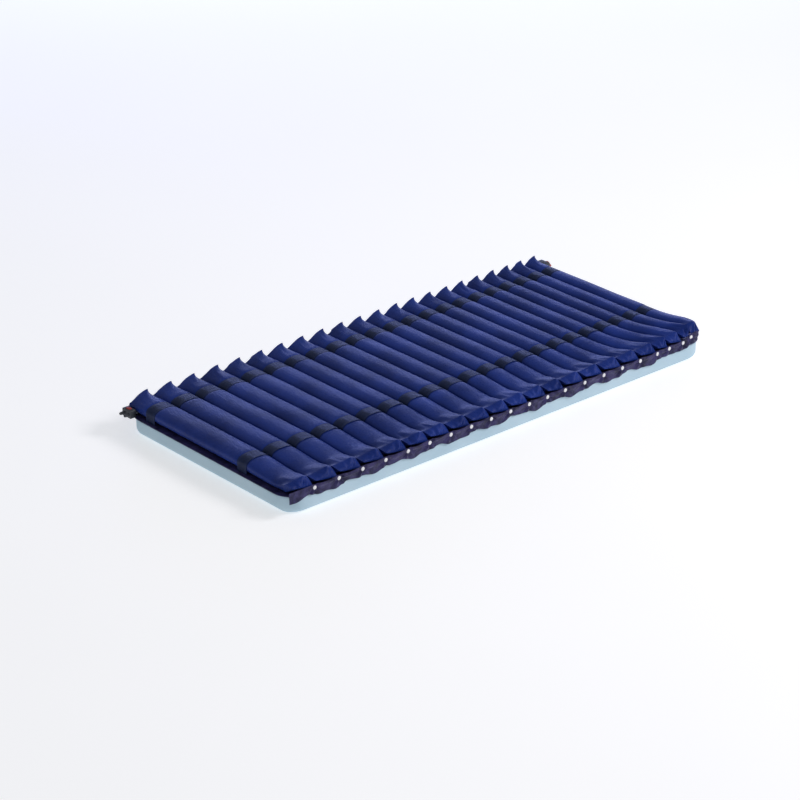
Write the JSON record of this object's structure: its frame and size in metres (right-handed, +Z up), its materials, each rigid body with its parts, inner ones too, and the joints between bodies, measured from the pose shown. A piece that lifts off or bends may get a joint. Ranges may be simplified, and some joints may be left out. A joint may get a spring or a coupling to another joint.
{
  "type": "pressure relief mattress",
  "caption": "Air-cell pressure relief mattress: transverse tubes held by loops to a studded base sheet on a foam slab, folding at back, thigh and knee.",
  "frame": {"origin": "middle of the rectangle that the mattress covers, on the surface it rests on", "axes": "+X along the mattress to the head end, +Y across it to the side with the air line, +Z up"},
  "size_m": [2.0504, 0.895, 0.133],
  "materials": {
    "cell_fabric": "navy coated nylon, soft sheen",
    "loop_fabric": "dark blue-grey coated woven nylon, semi-gloss",
    "sheet_fabric": "dark purple-navy woven nylon, matt",
    "foam": "pale blue polyurethane foam, matt",
    "air_tube": "milky flexible tubing, satin",
    "stud_plastic": "white moulded press studs",
    "fitting_plastic": "dark grey moulded plastic, fine texture",
    "control_plastic": "red moulded plastic, satin"
  },
  "bodies": {
    "seat": {"air_cell_10": "cell_fabric", "air_cell_11": "cell_fabric", "foam_base_seat": "foam", "base_sheet_seat": "sheet_fabric", "far_loops_seat": "loop_fabric", "near_loops_seat": "loop_fabric", "air_line_seat": "air_tube"},
    "thigh": {"air_cell_07": "cell_fabric", "air_cell_08": "cell_fabric", "air_cell_09": "cell_fabric", "foam_base_thigh": "foam", "base_sheet_thigh": "sheet_fabric", "far_loops_thigh": "loop_fabric", "near_loops_thigh": "loop_fabric", "air_line_thigh": "air_tube"},
    "calf": {"air_cell_01": "cell_fabric", "air_cell_02": "cell_fabric", "air_cell_03": "cell_fabric", "air_cell_04": "cell_fabric", "air_cell_05": "cell_fabric", "air_cell_06": "cell_fabric", "foam_base_calf": "foam", "base_sheet_calf": "sheet_fabric", "far_loops_calf": "loop_fabric", "near_loops_calf": "loop_fabric", "air_line_calf": "air_tube", "hose_inlet_body": "fitting_plastic"},
    "lumbar_lower": {"air_cell_12": "cell_fabric", "foam_base_lumbar_lower": "foam", "base_sheet_lumbar_lower": "sheet_fabric", "far_loops_lumbar_lower": "loop_fabric", "near_loops_lumbar_lower": "loop_fabric", "air_line_lumbar_lower": "air_tube"},
    "lumbar_upper": {"air_cell_13": "cell_fabric", "foam_base_lumbar_upper": "foam", "base_sheet_lumbar_upper": "sheet_fabric", "far_loops_lumbar_upper": "loop_fabric", "near_loops_lumbar_upper": "loop_fabric", "air_line_lumbar_upper": "air_tube"},
    "back": {"air_cell_14": "cell_fabric", "air_cell_15": "cell_fabric", "air_cell_16": "cell_fabric", "air_cell_17": "cell_fabric", "air_cell_18": "cell_fabric", "air_cell_19": "cell_fabric", "air_cell_20": "cell_fabric", "air_cell_21": "cell_fabric", "air_cell_22": "cell_fabric", "foam_base_back": "foam", "base_sheet_back": "sheet_fabric", "far_loops_back": "loop_fabric", "near_loops_back": "loop_fabric", "air_line_back": "air_tube", "release_valve_body": "fitting_plastic"},
    "inlet_button": {"hose_inlet_button": "control_plastic"},
    "release_knob": {"release_valve_knob": "control_plastic"}
  },
  "joints": [
    {"name": "back_raise", "type": "hinge", "parent": "seat", "child": "lumbar_lower", "pos_m": [0.09875, 0, 0.1228], "axis": [0, -1, 0], "range_deg": [0, 23.34]},
    {"name": "back_raise_middle", "type": "hinge", "parent": "lumbar_lower", "child": "lumbar_upper", "pos_m": [0.18694, 0, 0.1228], "axis": [0, -1, 0], "range_deg": [0, 23.34]},
    {"name": "back_raise_upper", "type": "hinge", "parent": "lumbar_upper", "child": "back", "pos_m": [0.27351, 0, 0.1228], "axis": [0, -1, 0], "range_deg": [0, 23.34]},
    {"name": "thigh_raise", "type": "hinge", "parent": "seat", "child": "thigh", "pos_m": [-0.08249, 0, 0.1228], "axis": [0, 1, 0], "range_deg": [0, 25]},
    {"name": "knee_break", "type": "hinge", "parent": "thigh", "child": "calf", "pos_m": [-0.36649, 0, 0], "axis": [0, -1, 0], "range_deg": [0, 37]},
    {"name": "release_knob_turn", "type": "hinge", "parent": "back", "child": "release_knob", "pos_m": [1.0088, 0.416, 0.088], "axis": [1, 0, 0], "range_deg": [0, 90]},
    {"name": "inlet_button_press", "type": "slide", "parent": "calf", "child": "inlet_button", "axis": [0, 0, -1], "range_m": [0, 0.0025], "stiffness_N_per_m": 400}
  ],
  "couplings": [
    {"joint": "back_raise_middle", "follows": "back_raise", "ratio": 1},
    {"joint": "back_raise_upper", "follows": "back_raise", "ratio": 1},
    {"joint": "knee_break", "follows": "thigh_raise", "ratio": 1.48}
  ]
}
